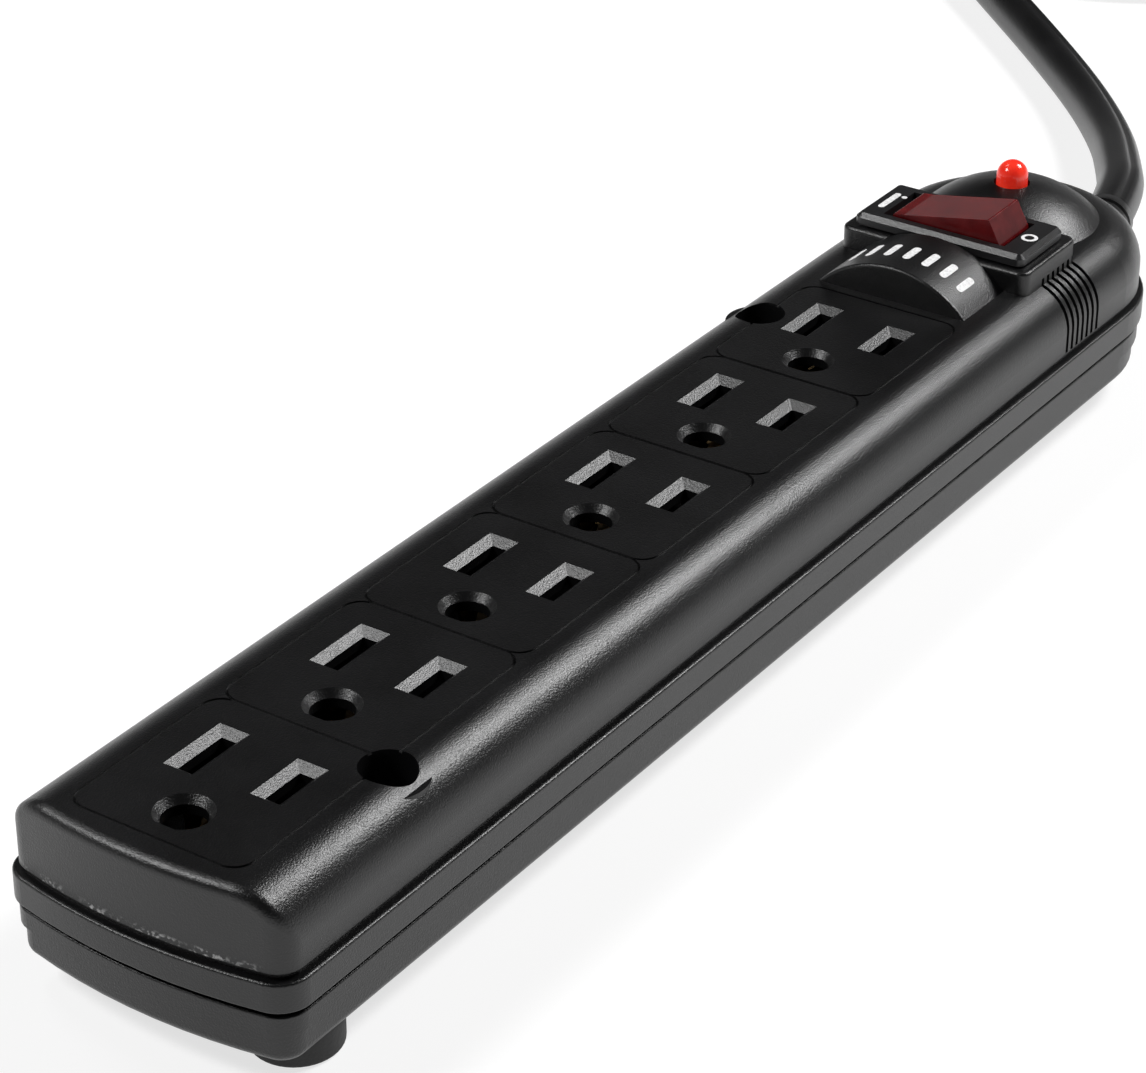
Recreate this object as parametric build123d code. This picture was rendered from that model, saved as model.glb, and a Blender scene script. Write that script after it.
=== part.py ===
from build123d import *
import math
import os

# Six-outlet surge protector strip, in millimetres. It stands on its four feet on z = 0, +Z up.
# The strip runs along X: the cord leaves the round end at +X, and the square end is at -X.
# The origin is on the floor under the middle of the strip, the cord left out.

# Overall sizes
body_width = 44.2  # over the lip of the top cover
panel_height = 28.0  # outlet panel above the floor
outlet_count = 6
outlet_pitch = 28.5
square_end_margin = 23.2  # square end to the first outlet's blade line
control_length = 50.5  # last blade line to the centre of the round end

# Top cover
seam_height = 12.3  # lower edge of the top cover
lip_height = 4.2  # proud band at the foot of the top cover
groove_height = 0.9  # shadow groove above that band
groove_depth = 0.45
lip_step = 0.9  # how far the lip stands proud of the walls
shoulder_radius = 7.0
end_bow_radius = 90.0  # the square end is slightly bowed
corner_radius = 4.5
end_edge_radius = 1.5
cover_wall = 2.2
panel_thickness = 2.4
dome_rise = 5.8  # dome over the round end, above the panel

# Bottom cover
foot_drop = 4.2  # underside of the bottom cover above the floor
bottom_wall = 2.2
floor_thickness = 2.0
seam_gap = 0.8
band_height = 2.7  # upper band of the bottom cover, a little wider than the tub below it
tongue_height = 2.2
tongue_thickness = 1.2
tongue_clearance = 0.15
bottom_edge = 1.4

# Outlets: two blade slots and a round ground hole in each
blade_spacing = 12.7
ground_offset = 11.9
neutral_slot = (8.3, 2.2)
hot_slot = (6.7, 2.2)
funnel_margin = 1.23  # how far each funnel mouth is wider than its slot, each side
funnel_depth = 1.0
ground_hole_radius = 2.95
ground_flat = 0.3  # how far the ground hole is cut flat on its far side
ground_funnel_margin = 0.91
cell_width = 26.4
cell_line = 0.4
cell_line_depth = 0.35
cell_corner = 3.0
blade_to_cell_edge = 10.4

# Fixings
mount_well_radius = 3.75
mount_hole_radius = 2.3
mount_pad_height = 4.0
mount_tube_wall = 1.5
case_screw_radius = 1.45
case_screw_length = 15.0
case_head_radius = 2.9
case_head_height = 1.8
case_boss_radius = 3.2
case_seat_height = 3.4  # screw seat above the underside
boss_step = 0.6  # how far the lower boss is wider than the one it meets
foot_radius = 6.0
foot_recess = 0.8
foot_inset = 12.7  # square end to the centres of its feet
fit_gap = 0.2
screw_bite = 0.2  # interference of a screw's thread in its pilot hole

# Switch: a rocker that resets the overload breaker, in a bezel on a raised block
switch_setback = 17.4  # rocker centre to the centre of the round end
block_rise = 3.6
block_margin = (1.55, 1.6)  # block round the bezel, each side
bezel_rise = 5.7
bezel_thickness = 1.8
bezel_flange = (1.05, 1.9)  # bezel round the housing, each side
housing_wall = (1.0, 2.2)
housing_depth = 18.0
housing_floor = 1.5
rocker_width = 9.3
rocker_gap = 0.25
rocker_window = 21.2
pivot_drop = 4.2  # pivot below the top of the bezel
pivot_pin_radius = 1.2
plunger_radius = 1.1
plunger_reach = 10.7  # pivot to the tip of the plunger
plunger_clearance = 0.5
bridge_thickness = 0.8
terminal_y = 8.0
terminal_size = (0.8, 4.8, 4.2)  # tab through the housing floor: thickness, width, length below it
rocker_travel = 20.0
bridge_travel = 12.0
vault_length = 12.4
vault_half_chord = 12.6
vault_rise = 5.5
grip_count = 7
grip_pitch = 1.65
grip_width = 0.8
grip_depth = 0.6

# Power lamp in the top of the dome
lamp_radius = 2.5
lamp_hole_gap = 0.35
lamp_depth = 4.6  # base of the lamp below the top of the dome
lead_pitch = 2.54
lead_radius = 0.55

# Contacts
bus_thickness = 0.6
bus_width = 3.9
clip_length = 6.8
clip_gap = 1.7
clip_leaf = 0.5
clip_headroom = 4.0  # from the tops of the clips to the underside of the panel
ground_bus_width = 4.6
ground_tube_inner = 2.45
ground_tube_wall = 0.55
ground_tube_drop = 1.5  # top of the ground tubes below the tops of the clips
tray_thickness = 1.4
tray_rib = 0.7

# Surge board
board_size = (14.5, 33.0)
board_thickness = 1.6
board_stand = 5.8  # posts under the board, above the inside floor
board_post_inset = 2.2
varistor_radius = 5.0
varistor_thickness = 3.5
varistor_spacing = 11.0
lead_stand = 0.8  # coated parts held off the board

# Cord and plug
cord_diameter = 8.2
cord_drop = 0.95  # the cord leaves this far below the seam
conductor_radius = 1.2
boot_wall = 0.8  # neck of the boot round the cord
boot_root_step = 0.7  # root of the sleeve round the neck
boot_tip_wall = 0.45
boot_flange = 0.6
boot_length = 20.0
boot_bend = 14.0  # degrees the boot turns towards +Y
clamp_screw_y = 7.6
clamp_screw_radius = 1.1
clamp_bar = (4.4, 1.6)  # width along the cord, thickness over it
coil_clear = 0.9  # turns held off the floor by the tie
coil_outer_mean = 47.0
coil_offset = (185.77, 78.72)  # coil's middle from the round end, and from the centre line
tie_thickness = 0.9
tie_width = 12.0
tie_angle = 45.0
plug_size = (29.0, 26.0, 24.0)
plug_boot = 13.0
blade_z = 6.0
blade_length = 17.3
blade_thickness = 1.52
pin_length = 20.6
pin_radius = 2.4

# Positions worked out from the sizes above
half_width = body_width / 2
outlet_run = outlet_pitch * (outlet_count - 1)
body_length = square_end_margin + outlet_run + control_length + half_width
square_end = -body_length / 2
round_centre = body_length / 2 - half_width
blade_lines = [square_end + square_end_margin + outlet_pitch * i for i in range(outlet_count)]
blade_y = blade_spacing / 2
flat_half = half_width - lip_step - shoulder_radius
lip_top = seam_height + lip_height
groove_top = lip_top + groove_height
cavity_inset = lip_step + cover_wall
clip_height = panel_height - panel_thickness - clip_headroom - foot_drop - floor_thickness - (
    tray_thickness + bus_thickness
)
ceiling = panel_height - panel_thickness
inside_floor = foot_drop + floor_thickness
band_bottom = seam_height - seam_gap - band_height
tongue_inset = cavity_inset + tongue_clearance
switch_x = round_centre - switch_setback
housing_size = (
    rocker_width + 2 * rocker_gap + 2 * housing_wall[0],
    rocker_window + 2 * housing_wall[1],
)
bezel_size = tuple(size + 2 * edge for size, edge in zip(housing_size, bezel_flange))
block_size = tuple(size + 2 * edge for size, edge in zip(bezel_size, block_margin))
block_top = panel_height + block_rise
bezel_top = panel_height + bezel_rise
bezel_bottom = bezel_top - bezel_thickness
housing_bottom = bezel_bottom - housing_depth
pivot_z = bezel_top - pivot_drop
bridge_z = pivot_z - plunger_reach - plunger_clearance
terminal_top = housing_bottom + housing_floor + 1.0
contact_top = bridge_z - 2.0
tab_z = housing_bottom - terminal_size[2] / 2 - 0.3
dome_radius = (flat_half**2 + dome_rise**2) / (2 * dome_rise)
dome_centre_z = panel_height + dome_rise - dome_radius
dome_top = panel_height + dome_rise
tray_top = inside_floor + tray_thickness
bus_top = tray_top + bus_thickness
tray_width = 2 * blade_y + bus_width + 0.2
rib_y = blade_y - bus_width / 2 - tray_rib
ground_tube_top = bus_top + clip_height - ground_tube_drop
bus_start = blade_lines[0] - ground_offset - ground_tube_inner - 2.0
board_x = switch_x - block_size[0] / 2 - board_size[0] / 2 + 0.5
bus_end = board_x - board_size[0] / 2 + 3.2
board_pin_x = bus_end - 2.4
board_bottom = inside_floor + board_stand
cord_radius = cord_diameter / 2
cord_exit_z = seam_height - seam_gap / 2 - cord_drop
clamp_x = round_centre + 9.0
jacket_end = round_centre + 4.0
mount_y = flat_half - 0.2
mount_holes = [
    (blade_lines[0] + 9.3, -mount_y),
    (blade_lines[-1] - 2.5, mount_y),
]
mount_seat = foot_drop + mount_pad_height
mount_tube_radius = mount_well_radius + mount_tube_wall
case_screw_y = flat_half
case_seat = foot_drop + case_seat_height
far_screw_x = switch_x + housing_size[0] / 2 + case_boss_radius + boss_step + fit_gap
case_screws_at = [
    (x, side * case_screw_y)
    for x in (blade_lines[1] + 9.0, blade_lines[4] - 0.5)
    for side in (-1, 1)
] + [(far_screw_x, side * case_screw_y) for side in (-1, 1)]
feet_at = [
    (square_end + foot_inset, -flat_half - 0.2),
    (square_end + foot_inset, flat_half + 0.2),
    (round_centre + 2.0, -flat_half + 3.4),
    (round_centre + 2.0, flat_half - 3.4),
]
coil_inner_mean = coil_outer_mean - cord_diameter
coil_layer_rise = cord_diameter * math.sqrt(3) / 2
coil_top_mean = (coil_outer_mean + coil_inner_mean) / 2
coil_top_z = coil_clear + cord_radius + coil_layer_rise

boot_neck_radius = cord_radius + boot_wall
boot_root_radius = boot_neck_radius + boot_root_step
boot_bend_radius = boot_length / math.radians(boot_bend)
body_end = round_centre + half_width
boot_inner_end = body_end - tongue_inset - tongue_thickness - 3.75
coil_centre = (body_end + coil_offset[0], coil_offset[1])

# The free cord's route from the boot to the coil, its points on the cord's centre line: how far
# each is past the round end, to the side of the centre line, and above a cord lying on the floor
cord_points = [
    (31.35, 5.4, 6.5),
    (43.85, 11.9, 4.5),
    (59.85, 21.0, 2.1),
    (79.85, 36.3, 0.3),
    (99.85, 56.0, 0.1),
    (118.35, 75.8, 0.3),
    (135.85, 94.6, 0.6),
    (151.85, 111.25, 0.9),
]
boot_tip = (
    body_end + boot_bend_radius * math.sin(math.radians(boot_bend)),
    boot_bend_radius * (1 - math.cos(math.radians(boot_bend))),
    cord_exit_z,
)
cord_route = [boot_tip] + [(body_end + x, y, cord_radius + z) for x, y, z in cord_points]
tail_x = coil_centre[0] + coil_top_mean - 4.4
tail_route = [
    (tail_x + 2.8, coil_centre[1] - 12.0, coil_top_z),
    (tail_x, coil_centre[1] - 25.2, coil_top_z),
    (tail_x, coil_centre[1] - 40.0, plug_size[2] / 2),
]
# The plug is drawn with its cord entering at the origin and its blades towards -X, then placed
plug_front = -plug_boot - plug_size[0]


def plan_outline(inset):
    """The strip seen from above, moved in from the lip: bowed square end, round far end."""
    reach = half_width - inset
    end_x = square_end + inset
    bow = end_bow_radius - inset
    side_x = end_x + bow - math.sqrt(bow**2 - reach**2)
    edge = Line((side_x, -reach), (round_centre, -reach))
    edge += CenterArc((round_centre, 0), reach, -90, 180)
    edge += Line((round_centre, reach), (side_x, reach))
    edge += ThreePointArc((side_x, reach), (end_x, 0), (side_x, -reach))
    face = make_face(edge)
    corners = face.vertices().sort_by(Axis.X)[:2]
    return fillet(corners, max(corner_radius - inset, 0.6))


def slab(inset, low, high):
    return extrude(Pos(0, 0, low) * plan_outline(inset), high - low)


def loaf(inset, low, high, radius):
    """The strip's section with rounded shoulders, run along X and turned through the round end."""
    reach = half_width - inset
    section = make_face(Polyline((0, low), (reach, low), (reach, high), (0, high), close=True))
    top_corner = section.vertices().sort_by(lambda v: v.X + v.Y)[-1]
    section = fillet(top_corner, radius)
    start = square_end - 5
    run = extrude(Plane.YZ.offset(start) * section, round_centre - start)
    run += mirror(run, Plane.XZ)
    axis = Axis((round_centre, 0, 0), (0, 0, 1))
    end = revolve(Plane.YZ.offset(round_centre) * section, axis, -180)
    return (run + end) & slab(inset, low - 1, high + 1)


def box(x, y, z, size_x, size_y, size_z):
    """A block centred on x and y that stands on z."""
    return Pos(x, y, z) * Box(size_x, size_y, size_z, align=(Align.CENTER, Align.CENTER, Align.MIN))


def rod(x, y, low, high, radius):
    align = (Align.CENTER, Align.CENTER, Align.MIN)
    return Pos(x, y, low) * Cylinder(radius, high - low, align=align)


def ball(x, y, z, radius):
    return Pos(x, y, z) * Sphere(radius)


def path_tube(points, radius):
    """A round cord or wire along straight runs joined by the largest tangent arcs that fit."""
    steps = [Vector(b) - Vector(a) for a, b in zip(points, points[1:])]
    radii = []
    for before, after in zip(steps, steps[1:]):
        turn = math.radians(before.get_angle(after))
        radii.append(0.45 * min(before.length, after.length) / math.tan(turn / 2))
    path = FilletPolyline(*points, radius=radii)
    section = Plane(origin=points[0], z_dir=steps[0]) * Circle(radius)
    tube = sweep(section, path)
    share = tube.volume / (math.pi * radius**2 * path.length)
    print("radii", [round(r, 1) for r in radii], "length", round(path.length, 1), "fill", round(share, 4))
    return tube


def ground_outline(grow):
    """The ground hole: round towards the blades, flat on the far side."""
    radius = ground_hole_radius + grow
    flat = radius - ground_flat
    return Circle(radius) & Pos(radius - flat, 0) * Rectangle(2 * radius, 2 * radius)


def funnel(outline, margin):
    """A tapered mouth cut down from the panel, its widest outline at the panel."""
    taper = math.degrees(math.atan(margin / funnel_depth))
    return extrude(outline, -funnel_depth, taper=taper)


def outlet_cuts(x):
    """The three holes of one outlet, each with its funnel mouth."""
    top = panel_height
    wide = 2 * funnel_margin
    cuts = []
    for side, slot in ((1, neutral_slot), (-1, hot_slot)):
        place = Pos(x, side * blade_y, top)
        mouth = place * Rectangle(slot[0] + wide, slot[1] + wide)
        cuts.append(funnel(mouth, funnel_margin))
        cuts.append(box(x, side * blade_y, ceiling - 1, slot[0], slot[1], panel_thickness))
    place = Pos(x - ground_offset, 0, top)
    cuts.append(funnel(place * ground_outline(ground_funnel_margin), ground_funnel_margin))
    through = Pos(x - ground_offset, 0, ceiling - 1) * ground_outline(0)
    cuts.append(extrude(through, panel_thickness))
    return cuts


def cell_lines():
    """Fine grooves that outline the cell round each outlet."""
    low = panel_height - cell_line_depth
    cuts = []
    for x in blade_lines:
        middle = x + blade_to_cell_edge - outlet_pitch / 2
        outer = RectangleRounded(outlet_pitch + cell_line / 2, cell_width + cell_line, cell_corner)
        inner_size = (outlet_pitch - cell_line * 1.5, cell_width - cell_line)
        inner = RectangleRounded(*inner_size, cell_corner - cell_line)
        cuts.append(extrude(Pos(middle, 0, low) * (outer - inner), 1))
    return cuts


def grip_cuts():
    """Finger grooves down both shoulders beside the switch."""
    skin = loaf(0, groove_top + 0.2, panel_height + 1, shoulder_radius)
    core = loaf(lip_step + grip_depth, seam_height, panel_height - grip_depth, shoulder_radius - grip_depth)
    first = switch_x + 2.5 - grip_pitch * (grip_count - 1) / 2
    cuts = []
    for i in range(grip_count):
        for side in (-1, 1):
            y = side * (flat_half + 1.6 + body_width / 4)
            plate = box(first + grip_pitch * i, y, groove_top + 0.2, grip_width, body_width / 2, 20)
            cuts.append((plate & skin) - core)
    return cuts


def vault():
    """Half-round hood in front of the switch, where the maker's plate sits."""
    radius = (vault_half_chord**2 + vault_rise**2) / (2 * vault_rise)
    start = switch_x - block_size[0] / 2 - vault_length
    centre_z = panel_height + vault_rise - radius
    bar = along_x(start, vault_length + 1, radius, centre_z)
    front = bar.faces().sort_by(Axis.X)[0]
    bar = fillet(front.edges(), 0.5)
    return bar & box(start + vault_length / 2, 0, ceiling, vault_length + 3, 3 * radius, 20)


def dome(radius_inset):
    """Shallow spherical cap over the round end."""
    cap = ball(round_centre, 0, dome_centre_z, dome_radius - radius_inset)
    return cap & box(round_centre, 0, ceiling, 2 * body_width, 2 * body_width, 20)


def make_top_cover():
    lip = slab(0, seam_height, lip_top)
    lip = fillet(lip.edges().group_by(Axis.Z)[-1], 0.4)
    lip = fillet(lip.edges().group_by(Axis.Z)[0], 0.3)
    upper = loaf(lip_step, groove_top, panel_height, shoulder_radius)
    near = square_end + lip_step + corner_radius + 6
    rim = [
        e
        for e in upper.edges()
        if e.bounding_box().max.X < near and e.center().Z > groove_top + 3
        and e.bounding_box().max.Z > panel_height - shoulder_radius
    ]
    upper = fillet(rim, end_edge_radius)
    cover = lip + slab(lip_step + groove_depth, lip_top - 0.5, groove_top + 0.5) + upper
    cover -= loaf(cavity_inset, seam_height - 1, ceiling, shoulder_radius - cover_wall)
    cover += dome(0) & slab(lip_step, ceiling, dome_top + 1)
    block = box(switch_x + fit_gap, 0, ceiling, *block_size, block_top - ceiling)
    block = fillet(block.edges().filter_by(Axis.Z), 1.8)
    block = fillet(block.edges().group_by(Axis.Z)[-1], 0.6)
    cover += block & slab(cavity_inset - 0.5, ceiling, block_top + 1)
    cover += vault()
    hollow = dome(cover_wall) & rod(round_centre, 0, ceiling - 1, dome_top, flat_half - cover_wall)
    cover -= hollow - box(switch_x, 0, ceiling - 2, block_size[0] + 1, body_width, 20)
    vault_x = switch_x - block_size[0] / 2 - vault_length / 2
    vault_room = (vault_length - 2 * cover_wall, 2 * vault_half_chord - 4 * cover_wall)
    cover -= box(vault_x, 0, ceiling - 1, *vault_room, vault_rise)
    window = (housing_size[0] + 2 * fit_gap, housing_size[1] + 2 * fit_gap)
    cover -= box(switch_x, 0, ceiling - 1, *window, block_top - ceiling + 2)
    for x, y in mount_holes:
        cover += rod(x, y, mount_seat + fit_gap, ceiling + 1, mount_tube_radius)
    for x, y in case_screws_at:
        cover += rod(x, y, case_seat + fit_gap, ceiling + 1, case_boss_radius)
    for x, y in mount_holes:
        cover -= rod(x, y, inside_floor, panel_height + 1, mount_well_radius)
    for x, y in case_screws_at:
        cover -= rod(x, y, inside_floor, case_seat + case_screw_length, case_screw_radius - screw_bite)
    cover -= rod(round_centre, 0, ceiling, dome_top + 1, lamp_radius + lamp_hole_gap)
    cover -= boot_passage()
    slots = [cut for x in blade_lines for cut in outlet_cuts(x)]
    for cut in slots + cell_lines() + grip_cuts():
        cover -= cut
    return cover


def boot_passage():
    """Room in the covers for the neck of the cord boot and the flange behind it."""
    neck = along_x(boot_inner_end, body_end + 1 - boot_inner_end, boot_neck_radius + fit_gap / 2)
    pocket_radius = boot_neck_radius + boot_flange + fit_gap
    return neck + along_x(boot_inner_end - fit_gap, 2.0 + 2 * fit_gap, pocket_radius)


def make_bottom_cover():
    top = seam_height - seam_gap
    band = slab(0.5, band_bottom, top)
    band = fillet(band.edges().group_by(Axis.Z)[-1], 0.3)
    tub = slab(lip_step + 0.2, foot_drop, band_bottom + 0.5)
    tub = fillet(tub.edges().group_by(Axis.Z)[0], bottom_edge)
    cover = band + tub
    cover += slab(tongue_inset, band_bottom, top + tongue_height)
    cover -= slab(lip_step + 0.2 + bottom_wall, inside_floor, band_bottom)
    cover -= slab(tongue_inset + tongue_thickness, band_bottom - 1, top + tongue_height + 1)
    for x, y in mount_holes:
        pad = rod(x, y, inside_floor - 1, mount_seat, mount_tube_radius)
        cover += pad & slab(bottom_wall, foot_drop, panel_height)
        cover -= rod(x, y, mount_seat, panel_height, mount_tube_radius + fit_gap)
        cover -= rod(x, y, 0, panel_height, mount_hole_radius)
    for x, y in case_screws_at:
        cover += rod(x, y, inside_floor - 1, case_seat, case_boss_radius + boss_step)
        cover -= rod(x, y, 0, panel_height, case_screw_radius + fit_gap)
        cover -= rod(x, y, 0, foot_drop + case_head_height + 0.4, case_head_radius + fit_gap)
    for x, y in feet_at:
        cover -= rod(x, y, 0, foot_drop + foot_recess, foot_radius + 0.15)
    for x, y in board_posts():
        cover += rod(x, y, inside_floor - 1, board_bottom, 1.9)
        cover += rod(x, y, board_bottom - 1, board_bottom + board_thickness + 0.6, 1.0)
    saddle_width = 2 * clamp_screw_y + 5.8
    saddle = box(clamp_x, 0, inside_floor - 1, clamp_bar[0], saddle_width, cord_exit_z - inside_floor + 1)
    cover += saddle & rod(round_centre, 0, 0, panel_height, half_width - cavity_inset - 1.5)
    cover -= along_x(round_centre, half_width + 1, cord_radius + 0.05)
    for y in (-clamp_screw_y, clamp_screw_y):
        cover -= rod(clamp_x, y, inside_floor, panel_height, clamp_screw_radius - screw_bite)
    cover -= boot_passage()
    return cover


def board_posts():
    reach_x = board_size[0] / 2 - board_post_inset
    reach_y = board_size[1] / 2 - board_post_inset
    return [(board_x + i * reach_x, j * reach_y) for i in (-1, 1) for j in (-1, 1)]


def make_feet():
    feet = []
    for x, y in feet_at:
        foot = rod(x, y, 0, foot_drop + foot_recess, foot_radius)
        feet.append(fillet(foot.edges().group_by(Axis.Z)[0], 0.6))
    return feet


def make_case_screws():
    screws = []
    for x, y in case_screws_at:
        low = foot_drop + 0.4
        head = rod(x, y, low, low + case_head_height, case_head_radius)
        head = fillet(head.edges().group_by(Axis.Z)[0], 0.5)
        drive = box(x, y, low - 1, 3.2, 0.8, 1.9) + box(x, y, low - 1, 0.8, 3.2, 1.9)
        shank = rod(x, y, low + 1, case_seat + case_screw_length - 3, case_screw_radius)
        screws.append(head + shank - drive)
    return screws


def make_tray():
    length = bus_end - bus_start
    middle = (bus_end + bus_start) / 2
    tray = box(middle, 0, inside_floor, length, tray_width, tray_thickness)
    for side in (-1, 1):
        tray += box(middle, side * rib_y, inside_floor, length, tray_rib, board_stand - fit_gap)
    return tray


def blade_bus(side):
    """A brass strip with one spring clip for each outlet's blade."""
    middle = (bus_end + bus_start) / 2
    bar = box(middle, side * blade_y, tray_top, bus_end - bus_start, bus_width, bus_thickness)
    for x in blade_lines:
        for leaf_side in (-1, 1):
            inner = clip_gap / 2
            leaf = Polyline(
                (inner, 0),
                (inner + 0.35, clip_height * 0.45),
                (inner - 0.15, clip_height * 0.82),
                (inner + 0.55, clip_height),
                (inner + 0.55 + clip_leaf, clip_height),
                (inner - 0.15 + clip_leaf, clip_height * 0.82),
                (inner + 0.35 + clip_leaf, clip_height * 0.45),
                (inner + clip_leaf, 0),
                close=True,
            )
            face = make_face(leaf)
            if leaf_side < 0:
                face = mirror(face, Plane.YZ)
            place = Plane.YZ.offset(x - clip_length / 2) * Pos(side * blade_y, bus_top - 0.1)
            bar += extrude(place * face, clip_length)
    return bar


def make_ground_bus():
    middle = (bus_end + bus_start) / 2
    bar = box(middle, 0, tray_top, bus_end - bus_start, ground_bus_width, bus_thickness)
    for x in blade_lines:
        at = x - ground_offset
        outer = ground_tube_inner + ground_tube_wall
        tube = rod(at, 0, bus_top - 0.1, ground_tube_top, outer)
        tube -= rod(at, 0, bus_top, panel_height, ground_tube_inner)
        tube -= box(at + outer, 0, bus_top + 1.5, outer, 1.0, clip_height)
        bar += tube
    return bar


def x_prism(points, centre_x, width):
    """A shape given by its Y-Z outline, as wide as stated along X."""
    face = make_face(Polyline(*points, close=True))
    return extrude(Plane.YZ.offset(centre_x - width / 2) * face, width)


def make_switch_housing():
    bezel = box(switch_x, 0, bezel_bottom, *bezel_size, bezel_thickness)
    bezel = fillet(bezel.edges().filter_by(Axis.Z), 1.2)
    bezel = chamfer(bezel.edges().group_by(Axis.Z)[-1], 0.7)
    housing = bezel + box(switch_x, 0, housing_bottom, *housing_size, housing_depth + 0.5)
    opening = rocker_width + 2 * rocker_gap
    housing -= box(switch_x, 0, pivot_z, opening, rocker_window, 10)
    floor_z = housing_bottom + housing_floor
    housing -= box(switch_x, 0, floor_z, opening, rocker_window + 0.8, pivot_z + 1 - floor_z)
    housing -= make_pivot_pin()
    for y in (-terminal_y, terminal_y):
        housing -= box(switch_x, y, housing_bottom - 1, terminal_size[0] + 0.1, terminal_size[1] + 0.1, 5)
    return housing


def make_pivot_pin():
    length = housing_size[0] - 0.4
    return Pos(switch_x, 0, pivot_z) * Cylinder(pivot_pin_radius, length, rotation=(0, 90, 0))


def make_rocker():
    top = bezel_top
    outline = [
        (9.0, top + 0.4),
        (7.2, top + 0.55),
        (-7.5, top + 3.5),
        (-9.8, top - 0.6),
        (-9.3, pivot_z + 0.6),
        (-5.5, pivot_z - 2.2),
        (5.5, pivot_z - 2.2),
        (9.4, pivot_z + 0.6),
    ]
    rocker = x_prism(outline, switch_x, rocker_width)
    long_edges = [e for e in rocker.edges().filter_by(Axis.X) if e.center().Z > bezel_bottom]
    rocker = fillet(long_edges, 0.35)
    rocker -= Pos(switch_x, 0, pivot_z) * Cylinder(pivot_pin_radius + 0.05, 20, rotation=(0, 90, 0))
    bore = rod(0, 0, -8, -1.9, plunger_radius + 0.1)
    return rocker - tilted(bore)


def tilted(shape):
    """Places a shape drawn about the pivot, with the rocker at half travel, at its rest angle."""
    return Pos(switch_x, 0, pivot_z) * Rot(-rocker_travel / 2, 0, 0) * shape


def make_plunger():
    reach = plunger_reach - plunger_radius
    shape = rod(0, 0, -reach, -4.2, plunger_radius) + ball(0, 0, -reach, plunger_radius)
    return tilted(shape)


def make_plunger_spring():
    ring = Circle(plunger_radius - 0.05) - Circle(plunger_radius - 0.45)
    return tilted(extrude(Pos(0, 0, -4.2) * ring, 2.2))


def make_bridge():
    """Contact bridge that see-saws under the rocker, drawn level and then tilted to its rest angle."""
    bar = box(0, 0, -bridge_thickness / 2, 5.6, 2 * terminal_y + 1.6, bridge_thickness)
    bar += rod(0, -terminal_y, -1.0, 0, 1.5)
    return Pos(switch_x, 0, bridge_z) * Rot(bridge_travel / 2, 0, 0) * bar


def make_bridge_post():
    """Knife-edge post that the bridge rocks on, just clear of it."""
    height = bridge_z - bridge_thickness / 2 - 0.15 - terminal_top
    return box(switch_x, 0, terminal_top, 3.6, 1.0, height)


def terminal(side):
    """A tab through the switch floor."""
    thickness, width, length = terminal_size
    tab_bottom = housing_bottom - length
    return box(switch_x, side * terminal_y, tab_bottom, thickness, width, length + housing_floor)


def make_load_terminal():
    pad = rod(switch_x, -terminal_y, housing_bottom + housing_floor, contact_top, 1.6)
    return terminal(-1) + pad


def make_line_terminal():
    pad = box(switch_x, terminal_y, housing_bottom + housing_floor, 4.0, terminal_size[1], 0.5)
    return terminal(1) + pad


def make_breaker_strip():
    """Bimetal strip from the line terminal to the bridge's post."""
    past_post = 1.2
    length = terminal_y + terminal_size[1] / 2 + past_post
    return box(switch_x, length / 2 - past_post, housing_bottom + housing_floor + 0.5, 4.0, length, 0.5)


def make_lamp():
    low = dome_top - lamp_depth
    skirt = rod(round_centre, 0, low, low + 1.2, lamp_radius + 0.25)
    barrel = rod(round_centre, 0, low, dome_top + 1.0, lamp_radius)
    return skirt + barrel + ball(round_centre, 0, dome_top + 1.0, lamp_radius)


def make_lamp_wires():
    """Two thin leads: one to the load terminal, one to the board."""
    low = dome_top - lamp_depth
    x = round_centre
    y = lead_pitch / 2
    live = [
        (x, -y, low),
        (x, -y - 0.25, low - 7),
        (x - 4, -4.5, tab_z + 3.5),
        (x - 8.5, 0.4 - terminal_y, tab_z + 0.6),
        (switch_x + terminal_size[0] / 2, -terminal_y, tab_z),
    ]
    other = [
        (x, y, low),
        (x, y + 0.25, low - 7),
        (x - 4, 0.4, tab_z + 6.3),
        (x - 9, -0.6, tab_z + 1.4),
        (switch_x, 0.6, tab_z + 0.9),
        (board_x + board_size[0] / 2, 0.9, board_bottom + board_thickness / 2),
    ]
    return [path_tube(live, lead_radius), path_tube(other, lead_radius)]


def make_board():
    board = box(board_x, 0, board_bottom, *board_size, board_thickness)
    for x, y in board_posts():
        board -= rod(x, y, 0, panel_height, 1.1)
    return board


def make_varistors():
    top = board_bottom + board_thickness
    discs = []
    for y in (-varistor_spacing, 0, varistor_spacing):
        middle = top + lead_stand + varistor_radius
        disc = Pos(board_x, y, middle) * Cylinder(varistor_radius, varistor_thickness, rotation=(0, 90, 0))
        disc = fillet(disc.edges(), 0.8)
        for side in (-1, 1):
            disc += rod(board_x + side * 0.7, y + side * 2.5, top, middle - 2.0, 0.35)
        discs.append(disc)
    return discs


def make_thermal_fuse():
    z = board_bottom + board_thickness + 2.2
    x = board_x - board_size[0] / 2 + 3.2
    body = Pos(x, 0, z) * Cylinder(1.7, 9.0, rotation=(90, 0, 0))
    for side in (-1, 1):
        body += rod(x, side * 6.2, board_bottom + board_thickness, z + 0.35, 0.35)
        body += Pos(x, side * 5.2, z) * Cylinder(0.35, 2.4, rotation=(90, 0, 0))
    return body


def make_capacitor():
    x = board_x + board_size[0] / 2 - 2.9
    body = box(x, -6.0, board_bottom + board_thickness, 4.4, 9.0, 7.5)
    return fillet(body.edges().group_by(Axis.Z)[-1], 0.5)


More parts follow.
